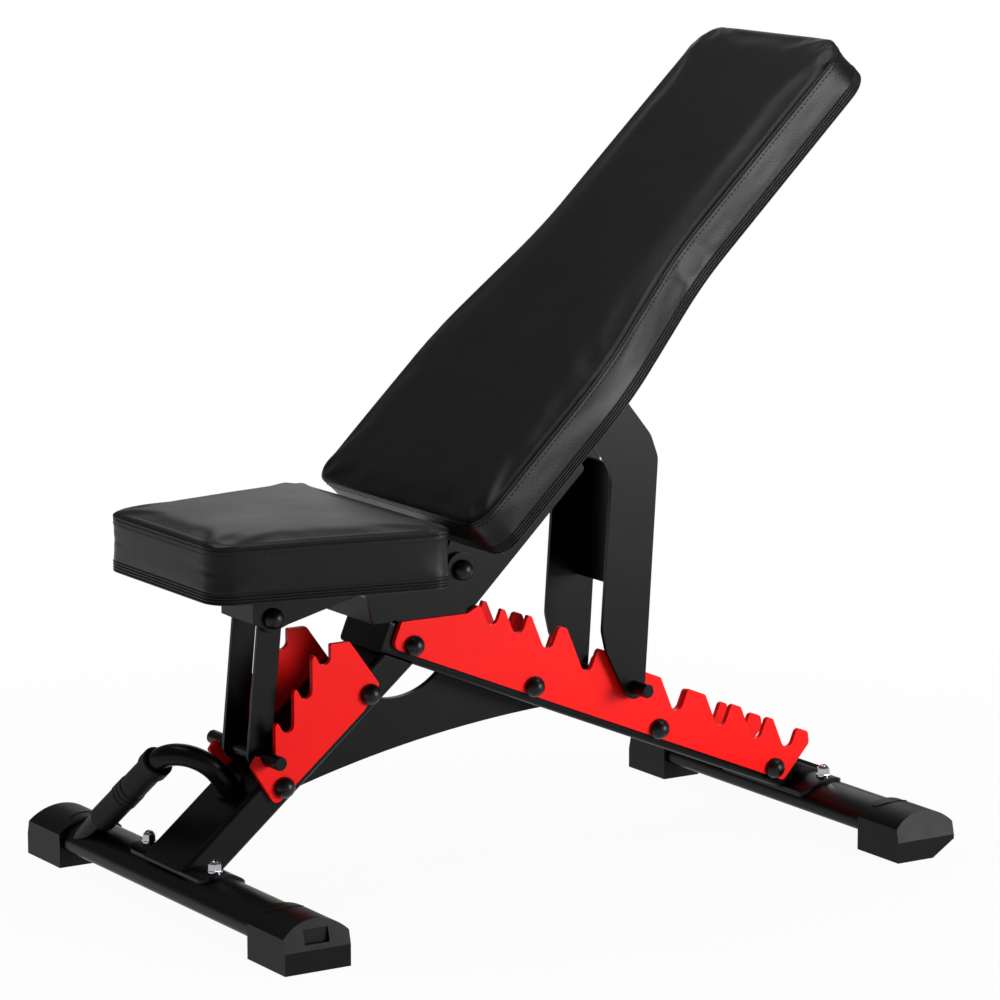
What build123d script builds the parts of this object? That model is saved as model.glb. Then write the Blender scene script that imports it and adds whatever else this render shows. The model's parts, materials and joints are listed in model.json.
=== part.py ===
"""Adjustable weight bench: steel frame on two crossbars, tilting seat, reclining back, notched ladders.

Frame: x from the front crossbar to the rear one, y across the bench, z up, origin on the floor at the
middle of the footprint. All sizes are in millimetres.
"""
import os
from math import cos, hypot, radians, sin, sqrt, tan

from build123d import *

os.makedirs("parts", exist_ok=True)

# Footprint
base_length = 900.0
front_span = 600.0
rear_span = 553.0

# Crossbars: flat underside, upright sides, arched top
bar_width = 72.0
bar_underside = 20.0
bar_shoulder = 35.0
bar_rise = 18.0
bar_round = 16.0
bar_foot_round = 6.0
bar_wall = 2.5

# Foot caps
front_cap_length = 81.0
rear_cap_length = 78.0
cap_wall = 4.0
cap_end = 8.0
cap_rise = 17.0
cap_band = 24.0
cap_lean = 8.0
cap_fit = 0.2
recess_width = 30.0
recess_height = 16.0
recess_depth = 3.0
heel_run = 30.0
heel_rise = 19.0

# Saddle plates over the crossbars and their bolts
saddle_length = 180.0
saddle_thickness = 4.0
saddle_front_angle = 31.0
saddle_rear_angle = 54.0
saddle_corner = 14.0
edge_trim = 1.0
saddle_bolt_pitch = 152.0
saddle_bolt_diameter = 8.0
saddle_nut_flats = 14.0
saddle_nut_height = 7.5
washer_diameter = 17.0
washer_thickness = 2.0

# Leg and spine: one rectangular tube size
tube_width = 90.0
tube_depth = 40.0
tube_wall = 2.5
tube_corner = 6.0
knee_from_front = 272.0
knee_height = 267.0
leg_angle = 39.6
spine_angle = 22.4
plug_flange = 3.0
plug_depth = 18.0

# Curved brace plate under the knee
brace_thickness = 8.0
brace_leg_low = 208.0
brace_leg_high = 34.0
brace_spine_near = 106.0
brace_spine_far = 256.0
brace_inner_sag = 16.0
brace_outer_sag = 12.0

# Notched ladders
ladder_thickness = 6.0
pin_diameter = 16.0
notch_gap = 0.35
ladder_bolt_diameter = 10.0
dome_diameter = 24.0
dome_height = 13.0
fit = 0.05

# Back ladder, in the spine's own directions: along it from the knee, and square to it
back_notch_along = [120.0, 157.5, 203.0, 264.5, 331.5, 404.5, 471.5, 527.5, 575.0]
back_notch_height = [78.5, 79.0, 74.0, 64.5, 56.5, 54.5, 54.5, 53.5, 56.0]
back_notch_used = 4
back_tooth_height = 20.5
back_ladder_start = 7.0
back_ladder_foot = 9.5
back_ladder_shoulder = 36.0
back_hook_width = 17.0
back_tail = 14.0
back_bolt_along = [32.0, 205.0, 391.0, 570.0]

# Seat ladder: lowest notch from the knee, then even steps
seat_notch_first_x = -149.0
seat_notch_first_z = -100.0
seat_notch_step_x = 23.7
seat_notch_step_z = 35.3
seat_notch_count = 4
seat_lip_out = 13.0
seat_lip_up = 6.0
seat_toe_out = 22.0
seat_toe_down = 6.5
seat_crest_up = 14.5
seat_crest_width = 24.0
seat_ladder_foot = 29.0
seat_ladder_upper_end = 26.0
seat_ladder_lower_end = 207.0
seat_bolt_along = [42.0, 186.0]

# Pivot bracket on the knee, with the back's axle and the seat's axle
bracket_front = 257.0
bracket_bottom = 303.0
bracket_length = 121.0
bracket_wall = 6.0
bracket_front_height = 27.0
bracket_shelf = 72.0
bracket_top = 336.0
back_axle_from_front = 373.0
back_axle_height = 353.0
back_axle_diameter = 16.0
back_boss_radius = 20.0
seat_axle_from_front = 256.0
seat_axle_height = 349.0
seat_axle_diameter = 12.0
seat_boss_radius = 11.5
pedestal_half = 37.0
pedestal_wall = 8.0
pedestal_front = 44.0
pedestal_rear = 112.0
axle_sleeve_diameter = 26.0

# Seat
seat_front = 15.0
seat_rear = 292.0
seat_front_width = 252.0
seat_rear_width = 354.0
seat_underside = 362.0
seat_thickness = 68.0
seat_corner = 33.0
seat_rear_corner = 22.0
seat_crown = 5.0
board_thickness = 12.0
board_margin = 16.0
cushion_band = 13.0
cushion_draw = 1.5
seat_sheet = 5.0
seat_channel_width = 72.0
seat_channel_front = 113.0
seat_strut_axle_from_front = 138.0
seat_strut_axle_height = 321.0
seat_channel_nose = 16.0
seat_channel_heel = 12.0
seat_axle_bush = 20.0
screw_diameter = 8.0
screw_head = 14.0
screw_head_height = 5.0

# Seat strut
seat_strut_width = 29.0
seat_strut_thickness = 5.0
seat_strut_gap = 51.0
seat_strut_axle_diameter = 10.0
seat_pin_length = 156.0

# Back, in its own directions: along it from the back axle, and square to it
back_angle = 44.0
back_low = 17.5
back_top = 734.0
back_low_width = 358.0
back_top_width = 280.0
back_taper_start = 240.0
back_taper_end = 410.0
back_face = 99.5
back_thickness = 58.0
back_low_corner = 26.0
back_top_corner = 40.0
back_taper_radius = 380.0
back_crown = 3.0
back_sheet = 5.0
back_sheet_length = 276.0
back_sheet_width = 116.0
rail_thickness = 6.0
rail_gap = 76.0
rail_drop = 47.0
rail_tail = 30.0
rail_length = 190.0
strut_axle_along = 242.5
strut_axle_drop = 27.0
lug_gap = 96.0
lug_thickness = 6.0
lug_radius = 16.0

# Back strut
back_strut_gap = 114.0
back_strut_thickness = 5.0
back_strut_tip = 14.0
back_strut_crown = 32.0
strut_shaft_diameter = 20.0
back_pin_length = 180.0
web_thickness = 5.0
web_start = 112.0
web_end = 250.0

# Carrying handle on the far side of the leg
handle_diameter = 25.0
handle_wall = 2.5
handle_leg_along = 220.5
handle_reach = 90.0
handle_bend = 42.0
handle_run = 217.0
handle_fall = 31.4
handle_drop = 9.7
handle_root = 20.0
grip_diameter = 32.0
grip_start = 66.0
grip_length = 142.0
grip_flange_diameter = 38.0
grip_flange = 5.0
collar_diameter = 36.0
collar_height = 5.0

# Positions worked out from the sizes above
front_x = -base_length / 2
front_bar_x = front_x + bar_width / 2 + cap_wall
rear_bar_x = -front_bar_x
bar_top = bar_shoulder + bar_rise
arch_radius = ((bar_width / 2) ** 2 + bar_rise ** 2) / (2 * bar_rise)
arch_centre = bar_top - arch_radius
saddle_radius = arch_radius + saddle_thickness
pin_radius = pin_diameter / 2
notch_radius = pin_radius + notch_gap
tube_half = tube_width / 2
ladder_outer = tube_half + ladder_thickness

sides = {"left": -1, "right": 1}


def slope(angle_deg):
    return (cos(radians(angle_deg)), 0, sin(radians(angle_deg)))


def upright(x, z, angle_deg):
    """Drawing plane seen from the left of the bench, its x axis tilted up by the angle."""
    return Plane(origin=(x, 0, z), x_dir=slope(angle_deg), z_dir=(0, -1, 0))


level = upright(0, 0, 0)
leg_plane = upright(front_x + knee_from_front, knee_height, leg_angle)
spine_plane = upright(front_x + knee_from_front, knee_height, -spine_angle)
back_axle_x = front_x + back_axle_from_front
back_plane = upright(back_axle_x, back_axle_height, back_angle)


def at_y(plane, y):
    return Plane(origin=plane.origin + Vector(0, y, 0), x_dir=plane.x_dir, z_dir=plane.z_dir)


def plate_plane(plane, side, inner, thickness):
    """Where a plate's drawing goes so that extruding by its thickness fills inner to inner + thickness."""
    return at_y(plane, inner + thickness if side > 0 else -inner)


def place(plane, along, up):
    point = plane.from_local_coords(Vector(along, up, 0))
    return (point.X, point.Z)


def in_plane(plane, point):
    local = plane.to_local_coords(Vector(point[0], 0, point[1]))
    return (local.X, local.Y)


def cross_rod(point, radius, y_low, y_high, mode=Mode.ADD):
    """Round bar across the bench."""
    with Locations(Location((point[0], (y_low + y_high) / 2, point[1]), (90, 0, 0))):
        Cylinder(radius, y_high - y_low, mode=mode)


def cross_hole(point, radius):
    cross_rod(point, radius, -front_span, front_span, mode=Mode.SUBTRACT)


def dome(point, y_base, side, bore, depth):
    """Domed nut cover standing on a face at y_base."""
    turn = Plane(origin=(point[0], y_base, point[1]), x_dir=(1, 0, 0), z_dir=(0, 0, 1))
    radius = dome_diameter / 2
    with BuildSketch(turn) as half:
        with BuildLine():
            Line((0, side * depth), (0, side * dome_height))
            RadiusArc((0, side * dome_height), (radius, side * 3), side * radius * 1.03)
            Line((radius, side * 3), (radius, 0))
            Line((radius, 0), (bore, 0))
            Line((bore, 0), (bore, side * depth))
            Line((bore, side * depth), (0, side * depth))
        make_face()
    revolve(half.sketch, axis=Axis((point[0], 0, point[1]), (0, 1, 0)))


def loaf(half, bottom, shoulder, rise):
    with BuildLine() as edge:
        Polyline((-half, shoulder), (-half, bottom), (half, bottom), (half, shoulder))
        ThreePointArc((half, shoulder), (0, shoulder + rise), (-half, shoulder))
    make_face(edge.edges())


def bar_section(grow=0.0):
    loaf(bar_width / 2 + grow, bar_underside - grow, bar_shoulder, bar_rise + grow)


def bar_corners(grow=0.0):
    """The crossbar's shoulders and lower corners with their radii."""
    half = bar_width / 2 + grow
    return [
        ((-half, bar_shoulder), bar_round + grow),
        ((half, bar_shoulder), bar_round + grow),
        ((-half, bar_underside - grow), bar_foot_round + grow),
        ((half, bar_underside - grow), bar_foot_round + grow),
    ]


def round_corners(sketch, corners):
    """Round the named corners of an outline, each by its own radius."""
    for point, radius in corners:
        fillet(sketch.vertices().sort_by_distance((point[0], point[1], 0))[0], radius)


def save(part, label):
    part.label = label
    export_step(part, "parts/" + label + ".step")


# Crossbars and foot caps
def crossbar(x, span):
    bar_half = span / 2 - cap_end
    with BuildSketch(upright(x, 0, 0)) as outside:
        bar_section()
        round_corners(outside, bar_corners())
    extrude(outside.sketch, amount=bar_half, both=True)
    with BuildSketch(upright(x, 0, 0)) as inside:
        bar_section(-bar_wall)
        round_corners(inside, bar_corners(-bar_wall))
    extrude(inside.sketch, amount=bar_half + 1, both=True, mode=Mode.SUBTRACT)
    with Locations(*[(x, y, bar_top / 2) for y in (-saddle_bolt_pitch / 2, saddle_bolt_pitch / 2)]):
        Cylinder(saddle_bolt_diameter / 2 + fit, bar_top * 2, mode=Mode.SUBTRACT)


with BuildPart() as front_crossbar:
    crossbar(front_bar_x, front_span)
save(front_crossbar.part, "front_crossbar")

with BuildPart() as rear_crossbar:
    crossbar(rear_bar_x, rear_span)
save(rear_crossbar.part, "rear_crossbar")

cap_half = bar_width / 2 + cap_wall
cap_shoulder = bar_shoulder + cap_wall


def foot_cap(x, span, length, side):
    inner = span / 2 - length
    with BuildSketch(plate_plane(upright(x, 0, 0), side, inner, length)) as outside:
        loaf(cap_half, 0, cap_shoulder, cap_rise)
    extrude(outside.sketch, amount=length)
    with BuildSketch(plate_plane(upright(x, 0, 0), side, inner - 1, length - cap_end + 1)) as socket:
        bar_section(cap_fit)
        round_corners(socket, bar_corners(cap_fit))
    extrude(socket.sketch, amount=length - cap_end + 1, mode=Mode.SUBTRACT)


def leaning_end(x, span, side):
    """The end face leans in above its square lower band."""
    top = cap_shoulder + cap_rise
    with BuildSketch(Plane(origin=(x - cap_half - 1, 0, 0), x_dir=(0, 1, 0), z_dir=(1, 0, 0))) as wedge:
        with BuildLine():
            Polyline(
                (side * span / 2, cap_band),
                (side * (span / 2 + 5), cap_band),
                (side * (span / 2 + 5), top + 5),
                (side * (span / 2 - cap_lean * (top + 5 - cap_band) / (top - cap_band)), top + 5),
                close=True,
            )
        make_face()
    extrude(wedge.sketch, amount=2 * cap_half + 2, mode=Mode.SUBTRACT)


for side_name, side in sides.items():
    with BuildPart() as front_cap:
        foot_cap(front_bar_x, front_span, front_cap_length, side)
        leaning_end(front_bar_x, front_span, side)
        with Locations((front_bar_x, side * front_span / 2, cap_band + 6 + recess_height / 2)):
            Box(recess_width, 2 * (recess_depth + 4), recess_height, mode=Mode.SUBTRACT)
    save(front_cap.part, "front_foot_cap_" + side_name)

    with BuildPart() as rear_cap:
        foot_cap(rear_bar_x, rear_span, rear_cap_length, side)
        heel = rear_bar_x + cap_half
        with BuildSketch(level):
            with BuildLine():
                Polyline((heel - heel_run, 0), (heel, 0), (heel, heel_rise), close=True)
            make_face()
        extrude(amount=front_span, both=True, mode=Mode.SUBTRACT)
        leaning_end(rear_bar_x, rear_span, side)
    save(rear_cap.part, "rear_foot_cap_" + side_name)


# Saddle plates: rolled to the bar's arch
def saddle(x, front_angle, rear_angle):
    arch = Plane(origin=(x, 0, arch_centre), x_dir=(1, 0, 0), z_dir=(0, -1, 0))

    def on_arch(radius, angle):
        return (radius * sin(radians(angle)), radius * cos(radians(angle)))

    with BuildSketch(arch) as strip:
        with BuildLine():
            ThreePointArc(
                on_arch(arch_radius, -front_angle),
                on_arch(arch_radius, (rear_angle - front_angle) / 2),
                on_arch(arch_radius, rear_angle),
            )
            Line(on_arch(arch_radius, rear_angle), on_arch(saddle_radius, rear_angle))
            ThreePointArc(
                on_arch(saddle_radius, rear_angle),
                on_arch(saddle_radius, (rear_angle - front_angle) / 2),
                on_arch(saddle_radius, -front_angle),
            )
            Line(on_arch(saddle_radius, -front_angle), on_arch(arch_radius, -front_angle))
        make_face()
    extrude(strip.sketch, amount=saddle_length / 2, both=True)
    low = x - arch_radius * sin(radians(front_angle)) + edge_trim
    high = x + arch_radius * sin(radians(rear_angle)) - edge_trim
    with BuildSketch() as plan:
        with Locations(((low + high) / 2, 0)):
            RectangleRounded(high - low, saddle_length, saddle_corner)
    extrude(plan.sketch, amount=2 * bar_top, mode=Mode.INTERSECT)
    with Locations(*[(x, y, bar_top) for y in (-saddle_bolt_pitch / 2, saddle_bolt_pitch / 2)]):
        Cylinder(saddle_bolt_diameter / 2 + fit, bar_top, mode=Mode.SUBTRACT)


with BuildPart() as front_saddle:
    saddle(front_bar_x, saddle_front_angle, saddle_rear_angle)
save(front_saddle.part, "front_saddle_plate")

with BuildPart() as rear_saddle:
    saddle(rear_bar_x, saddle_rear_angle, saddle_front_angle)
save(rear_saddle.part, "rear_saddle_plate")

saddle_bolt_spots = [
    (x, y) for x in (front_bar_x, rear_bar_x) for y in (-saddle_bolt_pitch / 2, saddle_bolt_pitch / 2)
]
saddle_top = bar_top + saddle_thickness
nut_base = saddle_top + washer_thickness
bolt_top = nut_base + saddle_nut_height + 1

with BuildPart() as saddle_bolts:
    with Locations(*[(x, y, bar_underside) for x, y in saddle_bolt_spots]):
        Cylinder(
            saddle_bolt_diameter / 2,
            bolt_top - bar_underside,
            align=(Align.CENTER, Align.CENTER, Align.MIN),
        )
        Cylinder(saddle_bolt_diameter, 5, align=(Align.CENTER, Align.CENTER, Align.MAX))
save(saddle_bolts.part, "crossbar_bolts")

with BuildPart() as saddle_washers:
    with Locations(*[(x, y, saddle_top) for x, y in saddle_bolt_spots]):
        Cylinder(washer_diameter / 2, washer_thickness, align=(Align.CENTER, Align.CENTER, Align.MIN))
        Cylinder(saddle_bolt_diameter / 2 + fit, 20, mode=Mode.SUBTRACT)
save(saddle_washers.part, "crossbar_washers")

with BuildPart() as acorn_nuts:
    with BuildSketch(Plane.XY.offset(nut_base)):
        with Locations(*saddle_bolt_spots):
            RegularPolygon(saddle_nut_flats / 2, 6, major_radius=False)
    extrude(amount=saddle_nut_height)
    with Locations(*[(x, y, nut_base + saddle_nut_height - 2) for x, y in saddle_bolt_spots]):
        Sphere(saddle_nut_flats * 0.46)
    with Locations(*[(x, y, 0) for x, y in saddle_bolt_spots]):
        Cylinder(
            saddle_bolt_diameter / 2 + fit,
            bolt_top + 0.5,
            align=(Align.CENTER, Align.CENTER, Align.MIN),
            mode=Mode.SUBTRACT,
        )
save(acorn_nuts.part, "crossbar_acorn_nuts")


# Leg and spine
def tube_run(plane, start, length, middle):
    """Rectangular tube along a drawing plane's x axis."""
    origin = plane.from_local_coords(Vector(start, middle, 0))
    section = Plane(origin=origin, x_dir=(0, 1, 0), z_dir=plane.x_dir)
    with BuildSketch(section) as wall:
        RectangleRounded(tube_width, tube_depth, tube_corner)
        RectangleRounded(
            tube_width - 2 * tube_wall,
            tube_depth - 2 * tube_wall,
            tube_corner - tube_wall,
            mode=Mode.SUBTRACT,
        )
    extrude(wall.sketch, amount=length)


seat_ladder_bolts = [place(leg_plane, -along, -tube_depth / 2) for along in seat_bolt_along]
back_ladder_bolts = [place(spine_plane, along, tube_depth / 2) for along in back_bolt_along]

leg_end = in_plane(leg_plane, (front_bar_x, arch_centre))[0]
with BuildPart() as front_leg:
    tube_run(leg_plane, leg_end, tube_depth * 2 - leg_end, -tube_depth / 2)
    with BuildSketch(at_y(spine_plane, tube_width)):
        with Locations((0, tube_width)):
            Rectangle(6 * tube_depth, 2 * tube_width)
    extrude(amount=2 * tube_width, mode=Mode.SUBTRACT)
    cross_hole((front_bar_x, arch_centre), saddle_radius)
    with Locations((front_bar_x, 0, 0)):
        Box(
            bar_width,
            2 * tube_width,
            bar_top,
            align=(Align.MAX, Align.CENTER, Align.MIN),
            mode=Mode.SUBTRACT,
        )
    for spot in seat_ladder_bolts:
        cross_hole(spot, ladder_bolt_diameter / 2 + fit)
save(front_leg.part, "front_leg")

spine_end = in_plane(spine_plane, (rear_bar_x, arch_centre))[0]
with BuildPart() as spine_tube:
    tube_run(spine_plane, 0, spine_end + tube_depth / 2, tube_depth / 2)
    cross_hole((rear_bar_x, arch_centre), saddle_radius)
    with Locations((rear_bar_x, 0, 0)):
        Box(
            2 * bar_width,
            2 * tube_width,
            bar_top + 1,
            align=(Align.MIN, Align.CENTER, Align.MIN),
            mode=Mode.SUBTRACT,
        )
    for spot in back_ladder_bolts:
        cross_hole(spot, ladder_bolt_diameter / 2 + fit)
save(spine_tube.part, "spine_tube")

plug_origin = spine_plane.from_local_coords(Vector(0, tube_depth / 2, 0))
with BuildPart() as spine_plug:
    with BuildSketch(Plane(origin=plug_origin, x_dir=(0, 1, 0), z_dir=spine_plane.x_dir)):
        RectangleRounded(
            tube_width - 2 * tube_wall - 2 * fit,
            tube_depth - 2 * tube_wall - 2 * fit,
            tube_corner - tube_wall,
        )
    extrude(amount=plug_depth)
    with BuildSketch(Plane(origin=plug_origin, x_dir=(0, 1, 0), z_dir=spine_plane.x_dir)):
        RectangleRounded(tube_width, tube_depth, tube_corner)
    extrude(amount=-plug_flange)
save(spine_plug.part, "spine_end_plug")

# Brace: a plate on the middle plane with two curved edges
leg_low = place(leg_plane, -brace_leg_low, -tube_depth)
leg_high = place(leg_plane, -brace_leg_high, -tube_depth)
spine_near = place(spine_plane, brace_spine_near, 0)
spine_far = place(spine_plane, brace_spine_far, 0)


def bowed(start, end, sag):
    """Middle point of a curve that sags down from its chord."""
    return ((start[0] + end[0]) / 2, (start[1] + end[1]) / 2 - sag)


with BuildPart() as brace:
    with BuildSketch(at_y(level, brace_thickness / 2)):
        with BuildLine():
            Line(leg_low, leg_high)
            ThreePointArc(leg_high, bowed(leg_high, spine_near, brace_inner_sag), spine_near)
            Line(spine_near, spine_far)
            ThreePointArc(spine_far, bowed(spine_far, leg_low, -brace_outer_sag), leg_low)
        make_face()
    extrude(amount=brace_thickness)
save(brace.part, "brace_plate")

# Back ladder: upright walls behind each notch, sloping flanks in front of it
back_notches = list(zip(back_notch_along, back_notch_height))
flank_reach = notch_radius * sqrt(2)


def back_ladder_outline():
    """Tooth outline along the spine; also the corners that are rounded."""
    first = back_notches[0]
    shelf_end = in_plane(spine_plane, (front_x + bracket_front + bracket_length + 2, bracket_bottom - 1))
    shelf_start = in_plane(spine_plane, (front_x + knee_from_front + 22, bracket_bottom - 1))
    crest = first[1] + back_tooth_height * 0.45
    points = [
        (back_ladder_start, back_ladder_foot),
        (back_ladder_start, back_ladder_shoulder),
        shelf_start,
        shelf_end,
        (first[0] - flank_reach - (crest - first[1]), crest),
    ]
    tips = [(points[0], 10), (points[-1], 4)]
    for number, (along, height) in enumerate(back_notches):
        points.append((along - notch_radius * sqrt(0.5), height - notch_radius * sqrt(0.5)))
        points.append((along + notch_radius, height))
        top = height + back_tooth_height
        wall = along + notch_radius
        if number + 1 < len(back_notches):
            after = back_notches[number + 1]
            flank = after[0] - flank_reach - (top - after[1])
            if flank > wall + 6:
                points.append((wall, top))
                points.append((flank, top))
                tips.append((points[-2], 5))
                tips.append((points[-1], 5))
            else:
                points.append((wall, after[1] + after[0] - flank_reach - wall - 5))
                points.append((wall + 5, after[1] + after[0] - flank_reach - wall - 5))
                tips.append((points[-2], 1.8))
                tips.append((points[-1], 2.5))
        else:
            points.append((wall, top - 3))
            points.append((wall + back_hook_width, top - 3))
            points.append((wall + back_hook_width + 7, height + 5))
            points.append((along + back_tail, back_ladder_foot))
            tips += [(points[-4], 6), (points[-3], 6), (points[-2], 8), (points[-1], 5)]
    return points, tips


for side_name, side in sides.items():
    outline, rounded = back_ladder_outline()
    with BuildPart() as back_ladder:
        with BuildSketch(plate_plane(spine_plane, side, tube_half, ladder_thickness)) as ladder_face:
            with BuildLine():
                Polyline(*outline, close=True)
            make_face()
            round_corners(ladder_face, rounded)
            with Locations(*back_notches):
                Circle(notch_radius, mode=Mode.SUBTRACT)
            with Locations(*[in_plane(spine_plane, spot) for spot in back_ladder_bolts]):
                Circle(ladder_bolt_diameter / 2 + fit, mode=Mode.SUBTRACT)
        extrude(amount=ladder_thickness)
    save(back_ladder.part, "back_ladder_" + side_name)

# Seat ladder: upright walls behind the notches, short lips in front
seat_notches = [
    (
        front_x + knee_from_front + seat_notch_first_x + step * seat_notch_step_x,
        knee_height + seat_notch_first_z + step * seat_notch_step_z,
    )
    for step in range(seat_notch_count)
]


def seat_ladder_outline():
    lower = place(leg_plane, -seat_ladder_lower_end, -seat_ladder_foot)
    upper = place(leg_plane, -seat_ladder_upper_end - 34, -seat_ladder_foot)
    shoulder = place(leg_plane, -seat_ladder_upper_end, -seat_ladder_foot + 8)
    first = seat_notches[0]
    toe = (first[0] - seat_toe_out, first[1] - seat_toe_down)
    points = [lower, upper, shoulder]
    last = seat_notches[-1]
    wall = last[0] + notch_radius
    points.append((wall + seat_crest_width, last[1] + seat_crest_up))
    points.append((wall, last[1] + seat_crest_up))
    tips = [(lower, 8), (upper, 6), (shoulder, 5), (points[-2], 4), (points[-1], 2)]
    for number in range(seat_notch_count - 1, -1, -1):
        x, z = seat_notches[number]
        points.append((x + notch_radius, z))
        points.append((x - notch_radius * sqrt(0.5), z - notch_radius * sqrt(0.5)))
        lip = (x - seat_lip_out, z + seat_lip_up)
        points.append(lip)
        tips.append((lip, 2.0))
        if number > 0:
            before = seat_notches[number - 1]
            points.append((before[0] + notch_radius, z + seat_lip_up - 7))
            tips.append((points[-1], 4))
    points.append(toe)
    tips.append((toe, 3))
    return points, tips


for side_name, side in sides.items():
    outline, rounded = seat_ladder_outline()
    with BuildPart() as seat_ladder:
        with BuildSketch(plate_plane(level, side, tube_half, ladder_thickness)) as ladder_face:
            with BuildLine():
                Polyline(*outline, close=True)
            make_face()
            round_corners(ladder_face, rounded)
            with Locations(*seat_notches):
                Circle(notch_radius, mode=Mode.SUBTRACT)
            with Locations(*seat_ladder_bolts):
                Circle(ladder_bolt_diameter / 2 + fit, mode=Mode.SUBTRACT)
        extrude(amount=ladder_thickness)
    save(seat_ladder.part, "seat_ladder_" + side_name)


# Through bolts of the ladders with their domed covers
def through_bolts(spots):
    for spot in spots:
        cross_rod(spot, ladder_bolt_diameter / 2, -ladder_outer - 7, ladder_outer + 7)


def bolt_domes(spots):
    for spot in spots:
        for side in sides.values():
            dome(spot, side * ladder_outer, side, ladder_bolt_diameter / 2 + fit, 7.5)


with BuildPart() as seat_bolts:
    through_bolts(seat_ladder_bolts)
save(seat_bolts.part, "seat_ladder_bolts")

with BuildPart() as seat_domes:
    bolt_domes(seat_ladder_bolts)
save(seat_domes.part, "seat_ladder_domes")

with BuildPart() as back_bolts:
    through_bolts(back_ladder_bolts)
save(back_bolts.part, "back_ladder_bolts")

with BuildPart() as back_domes:
    bolt_domes(back_ladder_bolts)
save(back_domes.part, "back_ladder_domes")

# Pivot bracket: bent sheet with two cheeks, a low front wall and a shelf on the spine's end
back_axle = (back_axle_x, back_axle_height)
seat_axle = (front_x + seat_axle_from_front, seat_axle_height)
bracket_x = front_x + bracket_front
bracket_half = ladder_outer

with BuildPart() as pivot_bracket:
    for side in sides.values():
        with BuildSketch(plate_plane(level, side, bracket_half - bracket_wall, bracket_wall)):
            with BuildLine():
                Polyline(
                    (bracket_x, bracket_bottom),
                    (bracket_x + bracket_length, bracket_bottom),
                    (back_axle[0] + back_boss_radius, back_axle[1]),
                    (back_axle[0] - back_boss_radius, back_axle[1]),
                    (back_axle[0] - back_boss_radius - 12, bracket_top),
                    (bracket_x + 24, bracket_top),
                    (seat_axle[0] + 8, seat_axle[1]),
                    (seat_axle[0] - 10, seat_axle[1]),
                    close=True,
                )
            make_face()
            with Locations(back_axle):
                Circle(back_boss_radius)
            with Locations(seat_axle):
                Circle(seat_boss_radius)
        extrude(amount=bracket_wall)
    front_wall = bracket_wall / 2
    with Locations((bracket_x + front_wall, 0, bracket_bottom + bracket_front_height / 2)):
        Box(bracket_wall, 2 * bracket_half - 2 * bracket_wall, bracket_front_height)
    with Locations((bracket_x + bracket_shelf / 2, 0, bracket_bottom + bracket_wall / 2)):
        Box(bracket_shelf, 2 * bracket_half - 2 * bracket_wall, bracket_wall)
    with BuildSketch(at_y(spine_plane, bracket_half)):
        with Locations((6 * tube_depth - plug_flange - 1, 0)):
            Rectangle(12 * tube_depth, 2 * tube_depth)
    extrude(amount=2 * bracket_half, mode=Mode.SUBTRACT)
    cross_hole(back_axle, back_axle_diameter / 2 + fit)
    cross_hole(seat_axle, seat_axle_diameter / 2 + fit)
save(pivot_bracket.part, "pivot_bracket")

axle_along, axle_up = in_plane(spine_plane, back_axle)
with BuildPart() as pedestal:
    for side in sides.values():
        inner = pedestal_half - pedestal_wall
        with BuildSketch(plate_plane(spine_plane, side, inner, pedestal_wall)):
            with BuildLine():
                Polyline(
                    (pedestal_front, tube_depth),
                    (pedestal_rear, tube_depth),
                    (axle_along + back_boss_radius * 0.8, axle_up),
                    (axle_along - back_boss_radius * 0.8, axle_up),
                    close=True,
                )
            make_face()
            with Locations((axle_along, axle_up)):
                Circle(back_boss_radius * 0.8)
        extrude(amount=pedestal_wall)
    cross_rod(back_axle, axle_sleeve_diameter / 2, -pedestal_half + 1, pedestal_half - 1)
    cross_hole(back_axle, back_axle_diameter / 2 + fit)
    with BuildSketch(level):
        with Locations((bracket_x + bracket_shelf / 2, bracket_bottom + bracket_wall / 2)):
            Rectangle(bracket_shelf + 0.2, bracket_wall + 0.2)
    extrude(amount=bracket_half, both=True, mode=Mode.SUBTRACT)
save(pedestal.part, "pivot_pedestal")

with BuildPart() as back_axle_bar:
    cross_rod(back_axle, back_axle_diameter / 2, -bracket_half - 7, bracket_half + 7)
save(back_axle_bar.part, "back_axle")

with BuildPart() as back_axle_domes:
    for side in sides.values():
        dome(back_axle, side * bracket_half, side, back_axle_diameter / 2 + fit, 7.5)
save(back_axle_domes.part, "back_axle_domes")

channel_half = seat_channel_width / 2
with BuildPart() as seat_axle_bar:
    cross_rod(seat_axle, seat_axle_diameter / 2, -bracket_half, bracket_half)
save(seat_axle_bar.part, "seat_axle")

with BuildPart() as seat_axle_spacers:
    for side in sides.values():
        ends = sorted((side * (channel_half + 0.4), side * (bracket_half - bracket_wall)))
        cross_rod(seat_axle, seat_axle_bush / 2, ends[0], ends[1])
    cross_hole(seat_axle, seat_axle_diameter / 2 + fit)
save(seat_axle_spacers.part, "seat_axle_spacers")


# Cushions: outlines set in by a little at each level, joined into one padded form
def set_in(points, inset):
    """Move every edge of a counter-clockwise outline inwards."""
    count = len(points)
    moved = []
    for number in range(count):
        before = points[number - 1]
        here = points[number]
        after = points[(number + 1) % count]
        run_in = hypot(here[0] - before[0], here[1] - before[1])
        run_out = hypot(after[0] - here[0], after[1] - here[1])
        n_in = (-(here[1] - before[1]) / run_in, (here[0] - before[0]) / run_in)
        n_out = (-(after[1] - here[1]) / run_out, (after[0] - here[0]) / run_out)
        scale = inset / (1 + n_in[0] * n_out[0] + n_in[1] * n_out[1])
        moved.append((here[0] + scale * (n_in[0] + n_out[0]), here[1] + scale * (n_in[1] + n_out[1])))
    return moved


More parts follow.
